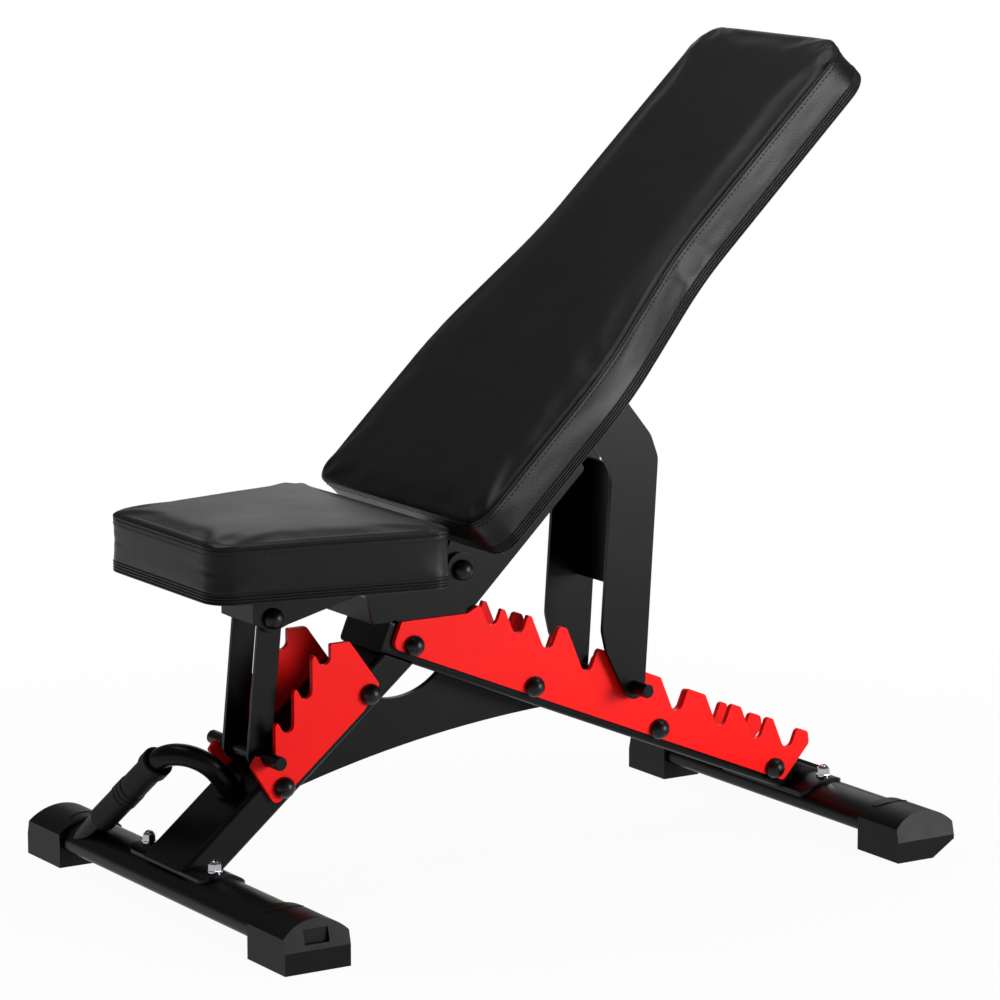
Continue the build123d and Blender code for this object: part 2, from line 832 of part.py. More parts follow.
def cushion_outline(points, radii, inset):
    """Outline with rounded corners; a negative radius marks a hollow corner."""
    moved = set_in(points, inset)
    with BuildLine() as edge:
        Polyline(*moved, close=True)
    make_face(edge.edges())
    corners = []
    for point, radius in zip(moved, radii):
        corners.append((point, max(radius - inset, 8) if radius > 0 else inset - radius))
    return corners


def cushion_levels(thickness, crown):
    """Height above the underside and set-in of each level, from the seam up to the crown."""
    return [
        (0, 2.0),
        (3, 0),
        (cushion_band, 0),
        (cushion_band + 5, cushion_draw),
        (thickness - 14, cushion_draw),
        (thickness - 9, 0.5),
        (thickness - 5, 1.2),
        (thickness - 2, 3.4),
        (thickness, 7.0),
        (thickness + crown * 0.55, 34),
        (thickness + crown, 78),
    ]


def cushion(plane, points, radii, thickness, crown):
    sections = []
    for height, inset in cushion_levels(thickness, crown):
        with BuildSketch(plane.offset(height)) as section:
            round_corners(section, cushion_outline(points, radii, inset))
        sections.append(section.sketch.faces()[0])
    loft(sections, ruled=True)
    with BuildSketch(plane) as pocket:
        round_corners(pocket, cushion_outline(points, radii, board_margin))
    extrude(pocket.sketch, amount=board_thickness, mode=Mode.SUBTRACT)


def cushion_board(plane, points, radii):
    with BuildSketch(plane) as board:
        round_corners(board, cushion_outline(points, radii, board_margin + fit))
    extrude(board.sketch, amount=board_thickness)


seat_plane = Plane.XY.offset(seat_underside)
seat_points = [
    (front_x + seat_front, -seat_front_width / 2),
    (front_x + seat_rear, -seat_rear_width / 2),
    (front_x + seat_rear, seat_rear_width / 2),
    (front_x + seat_front, seat_front_width / 2),
]
seat_radii = [seat_corner, seat_rear_corner, seat_rear_corner, seat_corner]

with BuildPart() as seat_cushion:
    cushion(seat_plane, seat_points, seat_radii, seat_thickness, seat_crown)
save(seat_cushion.part, "seat_cushion")

with BuildPart() as seat_board:
    cushion_board(seat_plane, seat_points, seat_radii)
save(seat_board.part, "seat_board")

# Seat channel: top sheet with two tapered cheeks, from the strut's bolt back to the seat axle
strut_axle = (front_x + seat_strut_axle_from_front, seat_strut_axle_height)
channel_x = front_x + seat_channel_front
sheet_under = seat_underside - seat_sheet
seat_screw_spots = [
    (channel_x + run, side * (channel_half - 18)) for run in (36, 105) for side in sides.values()
]

with BuildPart() as seat_channel:
    for side in sides.values():
        with BuildSketch(plate_plane(level, side, channel_half - seat_sheet, seat_sheet)):
            with BuildLine():
                Polyline(
                    (channel_x, sheet_under),
                    (channel_x, strut_axle[1] - 4),
                    (strut_axle[0], strut_axle[1] - seat_channel_nose),
                    (strut_axle[0] + 19, strut_axle[1] - 9),
                    (seat_axle[0], seat_axle[1] - seat_channel_heel),
                    (seat_axle[0] + seat_channel_heel, seat_axle[1]),
                    (seat_axle[0] + seat_channel_heel, sheet_under),
                    close=True,
                )
            make_face()
            with Locations(strut_axle):
                Circle(seat_channel_nose)
            with Locations(seat_axle):
                Circle(seat_channel_heel)
        extrude(amount=seat_sheet)
    top_end = seat_axle[0] + seat_channel_heel
    with Locations(((channel_x + top_end) / 2, 0, sheet_under + seat_sheet / 2)):
        Box(top_end - channel_x, seat_channel_width, seat_sheet)
    with Locations((channel_x + seat_sheet / 2, 0, (strut_axle[1] - 4 + sheet_under) / 2)):
        Box(seat_sheet, seat_channel_width - 2 * seat_sheet, sheet_under - strut_axle[1] + 4)
    cross_hole(strut_axle, seat_strut_axle_diameter / 2 + fit)
    cross_hole(seat_axle, seat_axle_diameter / 2 + fit)
    with Locations(*[(x, y, seat_underside) for x, y in seat_screw_spots]):
        Cylinder(screw_diameter / 2 + fit, 40, mode=Mode.SUBTRACT)
save(seat_channel.part, "seat_channel")


def screws(plane, spots, sheet):
    """Hex screws up through a sheet into the board; the plane is the board's underside."""
    under = plane.offset(-sheet)
    with BuildSketch(under) as heads:
        with Locations(*spots):
            RegularPolygon(screw_head / 2, 6, major_radius=False)
    extrude(heads.sketch, amount=-screw_head_height)
    with BuildSketch(under) as shanks:
        with Locations(*spots):
            Circle(screw_diameter / 2)
    extrude(shanks.sketch, amount=sheet)


with BuildPart() as seat_screws:
    screws(seat_plane, seat_screw_spots, seat_sheet)
save(seat_screws.part, "seat_screws")

with BuildPart() as seat_strut_axle:
    cross_rod(strut_axle, seat_strut_axle_diameter / 2, -channel_half - 7, channel_half + 7)
save(seat_strut_axle.part, "seat_strut_axle")

with BuildPart() as seat_strut_domes:
    for side in sides.values():
        dome(strut_axle, side * channel_half, side, seat_strut_axle_diameter / 2 + fit, 7.5)
save(seat_strut_domes.part, "seat_strut_domes")

# Seat strut: two flat links, a spacer tube on the bolt and the locking pin
seat_pin = seat_notches[0]
link_half = seat_strut_gap / 2
for side_name, side in sides.items():
    with BuildPart() as seat_link:
        with BuildSketch(plate_plane(level, side, link_half, seat_strut_thickness)):
            with BuildLine():
                run = Vector(strut_axle[0] - seat_pin[0], strut_axle[1] - seat_pin[1]).normalized()
                out = Vector(-run.Y, run.X) * (seat_strut_width / 2)
                top = Vector(*strut_axle)
                low = Vector(*seat_pin)
                Line(top + out, low + out)
                ThreePointArc(low + out, low - run * (seat_strut_width / 2), low - out)
                Line(low - out, top - out)
                ThreePointArc(top - out, top + run * (seat_strut_width / 2), top + out)
            make_face()
        extrude(amount=seat_strut_thickness)
        cross_hole(strut_axle, seat_strut_axle_diameter / 2 + fit)
        cross_hole(seat_pin, pin_radius + fit)
    save(seat_link.part, "seat_strut_" + side_name)

with BuildPart() as seat_strut_pin:
    cross_rod(seat_pin, pin_radius, -seat_pin_length / 2, seat_pin_length / 2)
    chamfer(seat_strut_pin.edges().filter_by(GeomType.CIRCLE), 1.0)
save(seat_strut_pin.part, "seat_strut_pin")

with BuildPart() as seat_strut_spacer:
    cross_rod(strut_axle, seat_strut_axle_diameter, -link_half, link_half)
    cross_hole(strut_axle, seat_strut_axle_diameter / 2 + fit)
save(seat_strut_spacer.part, "seat_strut_spacer")

# Back cushion and board
back_up = Vector(-sin(radians(back_angle)), 0, cos(radians(back_angle)))
back_under = back_face - back_thickness
cushion_plane = Plane(
    origin=back_plane.origin + back_up * back_under,
    x_dir=back_plane.x_dir,
    z_dir=back_up,
)
back_points = [
    (back_low, -back_low_width / 2),
    (back_taper_start, -back_low_width / 2),
    (back_taper_end, -back_top_width / 2),
    (back_top, -back_top_width / 2),
    (back_top, back_top_width / 2),
    (back_taper_end, back_top_width / 2),
    (back_taper_start, back_low_width / 2),
    (back_low, back_low_width / 2),
]
back_radii = [
    back_low_corner,
    back_taper_radius,
    -back_taper_radius,
    back_top_corner,
    back_top_corner,
    -back_taper_radius,
    back_taper_radius,
    back_low_corner,
]

with BuildPart() as back_cushion:
    cushion(cushion_plane, back_points, back_radii, back_thickness, back_crown)
save(back_cushion.part, "back_cushion")

with BuildPart() as back_board:
    cushion_board(cushion_plane, back_points, back_radii)
save(back_board.part, "back_board")

# Back frame: sheet under the board, two hinge rails and two lugs for the strut's shaft
back_screw_spots = [
    (back_low + run, side * 20) for run in (50, 150, 250) for side in sides.values()
]
sheet_low = back_under - back_sheet
shaft = place(back_plane, strut_axle_along, -strut_axle_drop)

with BuildPart() as back_sheet_part:
    with BuildSketch(cushion_plane):
        with Locations((back_low + 12 + back_sheet_length / 2, 0)):
            RectangleRounded(back_sheet_length, back_sheet_width, 10)
        with Locations(*back_screw_spots):
            Circle(screw_diameter / 2 + fit, mode=Mode.SUBTRACT)
    extrude(amount=-back_sheet)
save(back_sheet_part.part, "back_mount_sheet")

with BuildPart() as back_screws:
    screws(cushion_plane, back_screw_spots, back_sheet)
save(back_screws.part, "back_screws")

for side_name, side in sides.items():
    with BuildPart() as rail:
        with BuildSketch(plate_plane(back_plane, side, rail_gap / 2, rail_thickness)) as rail_face:
            with BuildLine():
                Polyline(
                    (-rail_tail, -rail_drop),
                    (rail_length, -rail_drop),
                    (rail_length + 8, sheet_low),
                    (back_low + 14, sheet_low),
                    (-rail_tail, back_axle_diameter),
                    close=True,
                )
            make_face()
            round_corners(
                rail_face,
                [
                    ((-rail_tail, -rail_drop), 7),
                    ((rail_length, -rail_drop), 4),
                    ((-rail_tail, back_axle_diameter), 10),
                ],
            )
        extrude(amount=rail_thickness)
        cross_hole(back_axle, back_axle_diameter / 2 + fit)
    save(rail.part, "back_rail_" + side_name)

    with BuildPart() as lug:
        with BuildSketch(plate_plane(back_plane, side, lug_gap / 2, lug_thickness)):
            with BuildLine():
                Polyline(
                    (strut_axle_along - lug_radius, -strut_axle_drop),
                    (strut_axle_along + lug_radius, -strut_axle_drop),
                    (strut_axle_along + lug_radius + 8, sheet_low),
                    (strut_axle_along - lug_radius - 8, sheet_low),
                    close=True,
                )
            make_face()
            with Locations((strut_axle_along, -strut_axle_drop)):
                Circle(lug_radius)
        extrude(amount=lug_thickness)
        cross_hole(shaft, strut_shaft_diameter / 2 + fit)
    save(lug.part, "strut_lug_" + side_name)

# Back strut: two wide bent blades, a web between them, the shaft and the locking pin
back_pin = place(spine_plane, back_notch_along[back_notch_used], back_notch_height[back_notch_used])
strut_length = hypot(shaft[0] - back_pin[0], shaft[1] - back_pin[1])
strut_plane = Plane(
    origin=(back_pin[0], 0, back_pin[1]),
    x_dir=(shaft[0] - back_pin[0], 0, shaft[1] - back_pin[1]),
    z_dir=(0, -1, 0),
)
blade_half = back_strut_gap / 2
blade_points = [
    (0, -back_strut_tip),
    (0.165 * strut_length, -23),
    (0.84 * strut_length, -59),
    (0.93 * strut_length, -52),
    (strut_length + 14, -29),
    (strut_length, back_strut_crown),
    (strut_length - 12, 29),
    (0.822 * strut_length, 5),
    (0.24 * strut_length, 37),
    (0.16 * strut_length, 34),
    (-3, back_strut_tip),
]

for side_name, side in sides.items():
    with BuildPart() as blade:
        with BuildSketch(plate_plane(strut_plane, side, blade_half, back_strut_thickness)) as blade_face:
            with BuildLine():
                Polyline(*blade_points, close=True)
            make_face()
            round_corners(
                blade_face,
                [
                    (blade_points[1], 60),
                    (blade_points[2], 22),
                    (blade_points[3], 30),
                    (blade_points[7], 40),
                    (blade_points[8], 30),
                    (blade_points[9], 20),
                ],
            )
            Circle(back_strut_tip)
            with Locations((strut_length, 0)):
                Circle(back_strut_crown)
        extrude(amount=back_strut_thickness)
        cross_hole(back_pin, pin_radius + fit)
    save(blade.part, "back_strut_" + side_name)

with BuildPart() as strut_web:
    with BuildSketch(at_y(strut_plane, blade_half)):
        with BuildLine():
            Polyline(
                (web_start, -16),
                (web_end, -36),
                (web_end, -36 + web_thickness),
                (web_start, -16 + web_thickness),
                close=True,
            )
        make_face()
    extrude(amount=back_strut_gap)
save(strut_web.part, "back_strut_web")

with BuildPart() as strut_shaft:
    cross_rod(shaft, strut_shaft_diameter / 2, -blade_half, blade_half)
save(strut_shaft.part, "back_strut_shaft")

with BuildPart() as back_strut_pin:
    cross_rod(back_pin, pin_radius, -back_pin_length / 2, back_pin_length / 2)
    chamfer(back_strut_pin.edges().filter_by(GeomType.CIRCLE), 1.0)
save(back_strut_pin.part, "back_strut_pin")

# Handle: out from the leg's front face, one bend, then down to the front crossbar
handle_foot = leg_plane.from_local_coords(Vector(-handle_leg_along, 0, 0))
handle_out = leg_plane.y_dir
handle_side = Vector(0, cos(radians(handle_fall)), 0) - leg_plane.x_dir * sin(radians(handle_fall))
handle_corner = handle_foot + handle_out * handle_reach
handle_fall_back = handle_reach + handle_drop
handle_way = (handle_side * handle_run - handle_out * handle_fall_back).normalized()
handle_end = handle_corner + handle_way * (hypot(handle_run, handle_fall_back) + handle_root)
handle_turn = handle_out.get_angle(handle_way)
bend_cut = handle_bend * tan(radians(handle_turn / 2))
bend_start = handle_corner - handle_out * bend_cut
bend_end = handle_corner + handle_way * bend_cut
bend_axis = (handle_way - handle_out).normalized()
bend_middle = handle_corner + bend_axis * (handle_bend / cos(radians(handle_turn / 2)) - handle_bend)

with BuildPart() as handle_tube:
    with BuildLine() as handle_path:
        Line(handle_foot, bend_start)
        ThreePointArc(bend_start, bend_middle, bend_end)
        Line(bend_end, handle_end)
    with BuildSketch(Plane(origin=handle_foot, z_dir=handle_out)):
        Circle(handle_diameter / 2)
        Circle(handle_diameter / 2 - handle_wall, mode=Mode.SUBTRACT)
    sweep()
    with BuildSketch(upright(front_bar_x, 0, 0)) as bar_outside:
        bar_section()
        round_corners(bar_outside, bar_corners())
    extrude(bar_outside.sketch, amount=front_span, both=True, mode=Mode.SUBTRACT)
save(handle_tube.part, "handle_tube")

with BuildPart() as handle_grip:
    grip_base = handle_corner + handle_way * grip_start
    with BuildSketch(Plane(origin=grip_base, z_dir=handle_way)):
        Circle(grip_diameter / 2)
    extrude(amount=grip_length)
    with BuildSketch(Plane(origin=grip_base, z_dir=handle_way)):
        Circle(grip_flange_diameter / 2)
    extrude(amount=grip_flange)
    with BuildSketch(Plane(origin=grip_base - handle_way, z_dir=handle_way)):
        Circle(handle_diameter / 2 + fit)
    extrude(amount=grip_length + 2, mode=Mode.SUBTRACT)
save(handle_grip.part, "handle_grip")

with BuildPart() as handle_collar:
    with BuildSketch(Plane(origin=handle_foot, z_dir=handle_out)):
        Circle(collar_diameter / 2)
        Circle(handle_diameter / 2 + fit, mode=Mode.SUBTRACT)
    extrude(amount=collar_height)
save(handle_collar.part, "handle_collar")
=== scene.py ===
"""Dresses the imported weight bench: leather pads, ringed grip, end cap details, finishes and a pale studio."""

import json
from math import cos, pi, radians, sin

import bpy
import numpy as np
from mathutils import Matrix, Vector


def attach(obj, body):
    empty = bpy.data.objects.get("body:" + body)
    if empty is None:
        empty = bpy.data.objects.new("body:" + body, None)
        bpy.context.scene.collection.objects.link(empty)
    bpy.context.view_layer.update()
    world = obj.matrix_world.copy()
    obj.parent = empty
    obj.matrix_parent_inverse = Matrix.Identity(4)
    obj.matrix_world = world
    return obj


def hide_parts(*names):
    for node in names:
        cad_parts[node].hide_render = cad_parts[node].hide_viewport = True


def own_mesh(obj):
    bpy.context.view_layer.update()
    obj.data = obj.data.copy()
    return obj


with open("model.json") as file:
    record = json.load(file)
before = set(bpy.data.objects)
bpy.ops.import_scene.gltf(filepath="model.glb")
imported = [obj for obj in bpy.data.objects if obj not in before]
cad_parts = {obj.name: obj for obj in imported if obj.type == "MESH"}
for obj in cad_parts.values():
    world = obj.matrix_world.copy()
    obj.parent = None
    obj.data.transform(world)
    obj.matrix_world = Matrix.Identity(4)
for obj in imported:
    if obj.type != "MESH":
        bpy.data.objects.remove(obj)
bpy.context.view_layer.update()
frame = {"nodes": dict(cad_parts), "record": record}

bl_info = {
    "name": "Adjustable weight bench",
    "version": (1, 0, 0),
    "blender": (4, 5, 0),
    "location": "View3D > Sidebar > Bench",
    "description": "Dresses the packed bench frame with pads, grip, end cap details and finishes",
    "category": "Object",
}

MM = 0.001

# The frame's places, in millimetres from the part's own origin.
FRONT = -450.0
BACK_AXLE = (FRONT + 373.0, 353.0)
BACK_ANGLE = radians(44.0)
SEAT_UNDERSIDE = 362.0
# The back pad's top edge above its axle, square to the pad.
BACK_FACE = 99.5
# The leather under a pad lies this deep in the board's room, so that the board's own underside shows.
UNDER_LIFT = 3.0
CAP_TOP = 56.0
CAP_HALF = 40.0
CAP_RISE = 17.0


class BenchSizes(bpy.types.PropertyGroup):
    """Sizes of the sewn and moulded details."""

    seat_thickness: bpy.props.FloatProperty(
        name="Seat thickness", description="Seat pad, underside to top edge, in mm", default=68.0, min=30.0
    )
    back_thickness: bpy.props.FloatProperty(
        name="Back thickness", description="Back pad, underside to top edge, in mm", default=58.0, min=30.0
    )
    band_height: bpy.props.FloatProperty(
        name="Ribbed band",
        description="Height of the ribbed band round a pad's foot, in mm",
        default=13.0,
        min=6.0,
    )
    rib_count: bpy.props.IntProperty(
        name="Ribs", description="Ribs sewn in the band round a pad's foot", default=4, min=1, max=8
    )
    seam_drop: bpy.props.FloatProperty(
        name="Seam drop", description="Top seam below the pad's top edge, in mm", default=8.0, min=4.0
    )
    stitch_pitch: bpy.props.FloatProperty(
        name="Stitch pitch", description="Distance from stitch to stitch, in mm", default=6.0, min=2.0
    )
    ring_pitch: bpy.props.FloatProperty(
        name="Grip rings",
        description="Distance from ring to ring on the rubber grip, in mm",
        default=8.5,
        min=2.0,
    )
    swell: bpy.props.FloatProperty(
        name="Swell", description="Most that the leather may move over its foam, in mm", default=1.8, min=0.0
    )


class BenchColours(bpy.types.PropertyGroup):
    """Colours as sRGB hex values."""

    leather: bpy.props.StringProperty(name="Leather", description="Pads", default="#0A0B0C")
    steel: bpy.props.StringProperty(name="Frame", description="Powder coat of the frame", default="#060707")
    ladder: bpy.props.StringProperty(name="Ladders", description="Coat of the ladders", default="#FF1310")
    plastic: bpy.props.StringProperty(name="Plastic", description="End caps", default="#080808")
    cap: bpy.props.StringProperty(name="Domes", description="Glossy domed caps", default="#070708")
    rubber: bpy.props.StringProperty(name="Rubber", description="Grip", default="#080808")
    thread: bpy.props.StringProperty(name="Thread", description="Stitches", default="#151617")
    floor: bpy.props.StringProperty(name="Floor", description="Studio floor", default="#FFFFFF")


def linear(hex_colour):
    """sRGB hex to linear RGBA: c / 12.92 below 0.04045, else ((c + 0.055) / 1.055) ^ 2.4."""
    c = np.array([int(hex_colour[i : i + 2], 16) for i in (1, 3, 5)]) / 255
    low = c <= 0.04045
    return (*np.where(low, c / 12.92, ((c + 0.055) / 1.055) ** 2.4), 1.0)


def add(tree, kind, settings=None, links=None):
    """Adds a node; settings are attributes or input values, links are input name to output socket."""
    node = tree.nodes.new(kind)
    for key, value in (settings or {}).items():
        if isinstance(key, int) or key in node.inputs:
            node.inputs[key].default_value = value
        else:
            setattr(node, key, value)
    for key, socket in (links or {}).items():
        tree.links.new(socket, node.inputs[key])
    return node


def blank(name):
    """An empty node material with its shader; returns material, tree, shader and Object coordinates."""
    material = bpy.data.materials.new(name)
    material.use_nodes = True
    tree = material.node_tree
    tree.nodes.clear()
    shader = add(tree, "ShaderNodeBsdfPrincipled")
    add(tree, "ShaderNodeOutputMaterial", links={"Surface": shader.outputs["BSDF"]})
    place = add(tree, "ShaderNodeTexCoord").outputs["Object"]
    return material, tree, shader, place


def tint(tree, shader, fac, colour, low, high):
    """Base colour runs from low to high times the written colour as fac goes 0 to 1."""
    base = np.array(linear(colour)[:3])
    ramp = add(tree, "ShaderNodeValToRGB", links={"Fac": fac})
    ramp.color_ramp.elements[0].color = (*np.clip(base * low, 0, 1), 1)
    ramp.color_ramp.elements[1].color = (*np.clip(base * high, 0, 1), 1)
    tree.links.new(ramp.outputs["Color"], shader.inputs["Base Color"])


def spread(tree, shader, fac, low, high):
    """Roughness runs from low to high as fac goes 0 to 1."""
    span = add(tree, "ShaderNodeMapRange", {"To Min": low, "To Max": high}, {"Value": fac})
    tree.links.new(span.outputs["Result"], shader.inputs["Roughness"])


def per_metre(size_mm):
    """Texture scale whose pattern repeats about every size_mm, on coordinates in metres."""
    return 1.0 / (size_mm * MM)


def coated_leather(colour):
    """PU-coated upholstery leather: an embossed pebble grain, soft drape marks and a low, even sheen."""
    material, tree, shader, place = blank("pu_coated_leather")
    # Real grain is about 0.8 mm; it is drawn at 2 mm so that it shows.
    grain = add(tree, "ShaderNodeTexVoronoi", {"Scale": per_metre(2.0)}, {"Vector": place})
    pores = add(tree, "ShaderNodeTexNoise", {"Scale": per_metre(1.2), "Detail": 3.0}, {"Vector": place})
    drape = add(tree, "ShaderNodeTexNoise", {"Scale": per_metre(70.0), "Detail": 2.0}, {"Vector": place})
    tint(tree, shader, drape.outputs["Fac"], colour, 0.85, 1.18)
    spread(tree, shader, drape.outputs["Fac"], 0.34, 0.46)
    soft = add(
        tree, "ShaderNodeBump", {"Strength": 0.25, "Distance": 0.004}, {"Height": drape.outputs["Fac"]}
    )
    pore = add(
        tree,
        "ShaderNodeBump",
        {"Strength": 0.10, "Distance": 0.0003},
        {"Height": pores.outputs["Fac"], "Normal": soft.outputs["Normal"]},
    )
    pebble = add(
        tree,
        "ShaderNodeBump",
        {"Strength": 0.16, "Distance": 0.0004},
        {"Height": grain.outputs["Distance"], "Normal": pore.outputs["Normal"]},
    )
    tree.links.new(pebble.outputs["Normal"], shader.inputs["Normal"])
    shader.inputs["IOR"].default_value = 1.48
    shader.inputs["Specular IOR Level"].default_value = 0.20
    return material


def powder_coat(name, colour, rough_low, rough_high, peel, gloss):
    """Baked powder on steel: fine orange peel about 1.5 mm across and faint handling marks."""
    material, tree, shader, place = blank(name)
    skin = add(tree, "ShaderNodeTexNoise", {"Scale": per_metre(1.5), "Detail": 2.0}, {"Vector": place})
    marks = add(tree, "ShaderNodeTexNoise", {"Scale": per_metre(45.0), "Detail": 5.0}, {"Vector": place})
    tint(tree, shader, marks.outputs["Fac"], colour, 0.93, 1.07)
    spread(tree, shader, marks.outputs["Fac"], rough_low, rough_high)
    # The powder rounds every sheared edge to about 0.9 mm.
    edge = add(tree, "ShaderNodeBevel", {"Radius": 0.0009})
    bump = add(
        tree,
        "ShaderNodeBump",
        {"Strength": peel, "Distance": 0.0003},
        {"Height": skin.outputs["Fac"], "Normal": edge.outputs["Normal"]},
    )
    tree.links.new(bump.outputs["Normal"], shader.inputs["Normal"])
    shader.inputs["IOR"].default_value = 1.5
    shader.inputs["Specular IOR Level"].default_value = gloss
    return material


def moulded_plastic(name, colour, rough_low, rough_high, texture_mm, gloss):
    """Injection-moulded plastic: a spark-eroded grain of texture_mm and slight flow clouding."""
    material, tree, shader, place = blank(name)
    scale = per_metre(texture_mm)
    grain = add(tree, "ShaderNodeTexNoise", {"Scale": scale, "Detail": 2.0}, {"Vector": place})
    cloud = add(tree, "ShaderNodeTexNoise", {"Scale": per_metre(30.0), "Detail": 2.0}, {"Vector": place})
    tint(tree, shader, cloud.outputs["Fac"], colour, 0.92, 1.10)
    spread(tree, shader, cloud.outputs["Fac"], rough_low, rough_high)
    bump = add(
        tree, "ShaderNodeBump", {"Strength": 0.12, "Distance": 0.0002}, {"Height": grain.outputs["Fac"]}
    )
    tree.links.new(bump.outputs["Normal"], shader.inputs["Normal"])
    shader.inputs["IOR"].default_value = 1.5
    shader.inputs["Specular IOR Level"].default_value = gloss
    return material


def plated_metal(name, colour, rough_low, rough_high):
    """Plated steel: fine polishing marks about 0.8 mm apart that only move the roughness."""
    material, tree, shader, place = blank(name)
    polish = add(tree, "ShaderNodeTexNoise", {"Scale": per_metre(0.8), "Detail": 3.0}, {"Vector": place})
    tint(tree, shader, polish.outputs["Fac"], colour, 0.92, 1.05)
    spread(tree, shader, polish.outputs["Fac"], rough_low, rough_high)
    shader.inputs["Metallic"].default_value = 1.0
    return material


def black_plywood(colour):
    """Stained plywood: long grain lines about 4 mm apart across the board."""
    material, tree, shader, place = blank("stained_plywood")
    stretch = add(tree, "ShaderNodeMapping", {"Scale": (1.0, 0.12, 1.0)}, {"Vector": place})
    grain = add(
        tree,
        "ShaderNodeTexNoise",
        {"Scale": per_metre(4.0), "Detail": 4.0},
        {"Vector": stretch.outputs["Vector"]},
    )
    tint(tree, shader, grain.outputs["Fac"], colour, 0.7, 1.3)
    spread(tree, shader, grain.outputs["Fac"], 0.6, 0.8)
    return material


def finishes():
    """One material for each of the record's slots, and the thread."""
    colours = bpy.context.scene.bench_colours
    return {
        "leather": coated_leather(colours.leather),
        "black_steel": powder_coat("satin_black_powder_coat", colours.steel, 0.26, 0.36, 0.10, 0.13),
        "red_steel": powder_coat("red_powder_coat", colours.ladder, 0.30, 0.40, 0.08, 0.12),
        "black_plastic": moulded_plastic("moulded_polypropylene", colours.plastic, 0.34, 0.46, 0.9, 0.11),
        "gloss_cap": moulded_plastic("gloss_polyamide", colours.cap, 0.30, 0.40, 2.0, 0.25),
        "rubber": moulded_plastic("moulded_rubber", colours.rubber, 0.55, 0.70, 0.9, 0.20),
        "chrome": plated_metal("bright_chrome", "#A9ABAE", 0.06, 0.15),
        "zinc_steel": plated_metal("zinc_plated_steel", "#9A9C9F", 0.28, 0.42),
        "board": black_plywood("#2A2622"),
        "thread": moulded_plastic("bonded_nylon_thread", colours.thread, 0.55, 0.7, 0.5, 0.15),
    }


def finish(slot):
    """The shared material of a slot, made on first use and known by its own slot property."""
    ready = {material["slot"]: material for material in bpy.data.materials if "slot" in material}
    if slot not in ready:
        ready = finishes()
        for name, material in ready.items():
            material["slot"] = name
    return ready[slot]


def mesh_object(name, points, faces, slot, body):
    """Points in mm and quads as index arrays become a smooth-shaded piece that rides on a body."""
    mesh = bpy.data.meshes.new(name)
    mesh.from_pydata((np.asarray(points) * MM).tolist(), [], np.asarray(faces).tolist())
    mesh.polygons.foreach_set("use_smooth", np.ones(len(mesh.polygons), dtype=bool))
    mesh.update()
    piece = bpy.data.objects.new(name, mesh)
    bpy.context.scene.collection.objects.link(piece)
    piece.data.materials.append(finish(slot))
    if body:
        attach(piece, body)
    return piece


def unit(v):
    """Rows of v at length one."""
    return v / np.linalg.norm(v, axis=-1, keepdims=True)


def outline(corners, radii, counts):
    """Rounded outline: straight runs joined by arcs tangent to both, walked at even arc length.

    Walks from the middle of corner 0's arc through every corner. counts gives the number of points from
    each marked corner to the next, marked corners being those with a count above zero. Returns points and
    unit outward normals: the heading turned a quarter to the right.
    """
    p = np.asarray(corners, float)
    r = np.asarray(radii, float)
    into = unit(p - np.roll(p, 1, 0))
    out = unit(np.roll(p, -1, 0) - p)
    turn = np.arctan2(into[:, 0] * out[:, 1] - into[:, 1] * out[:, 0], (into * out).sum(1))
    cut = r * np.tan(np.abs(turn) / 2)
    arc_start = p - into * cut[:, None]
    arc_end = p + out * cut[:, None]
    run = np.linalg.norm(np.roll(arc_start, -1, 0) - arc_end, axis=1)
    lengths = np.stack([r * np.abs(turn), run], 1).ravel()
    begin = np.concatenate([[0], np.cumsum(lengths)])
    middle = begin[:-1:2] + lengths[::2] / 2
    counts = np.asarray(counts)
    marks = np.flatnonzero(counts)
    stops = np.concatenate([middle[marks], [middle[marks[0]] + begin[-1]]])
    s = np.concatenate(
        [np.linspace(a, b, n, endpoint=False) for a, b, n in zip(stops[:-1], stops[1:], counts[marks])]
    )
    s = s % begin[-1]
    piece = np.clip(np.searchsorted(begin, s, side="right") - 1, 0, len(lengths) - 1)
    corner = piece // 2
    on_arc = piece % 2 == 0
    local = s - begin[piece]
    sign = np.sign(turn[corner])
    angle = np.where(on_arc, local / r[corner], 0.0)
    left = np.stack([-into[corner, 1], into[corner, 0]], 1)
    bow = np.sin(angle)[:, None] * into[corner] + (sign * (1 - np.cos(angle)))[:, None] * left
    curved = arc_start[corner] + r[corner][:, None] * bow
    straight = arc_end[corner] + local[:, None] * out[corner]
    points = np.where(on_arc[:, None], curved, straight)
    heading = np.arctan2(into[corner, 1], into[corner, 0]) + np.where(on_arc, sign * angle, turn[corner])
    return points, np.stack([np.sin(heading), -np.cos(heading)], 1)


def coons(ring, across, along):
    """Patch inside a ring of points: the sum of both ruled surfaces less the bilinear one of its corners.

    The ring walks along, across, along, across from its first corner. Returns an (along + 1, across + 1, 3)
    grid whose border is the ring.
    """
    ring = np.vstack([ring, ring[:1]])
    low = ring[: along + 1]
    far = ring[along : along + across + 1]
    high = ring[along + across : 2 * along + across + 1][::-1]
    near = ring[2 * along + across :][::-1]
    u = np.linspace(0, 1, along + 1)[:, None, None]
    v = np.linspace(0, 1, across + 1)[None, :, None]
    ruled = (1 - v) * low[:, None] + v * high[:, None] + (1 - u) * near[None] + u * far[None]
    flat = (1 - u) * (1 - v) * low[0] + u * (1 - v) * low[-1] + (1 - u) * v * high[0] + u * v * high[-1]
    return ruled - flat


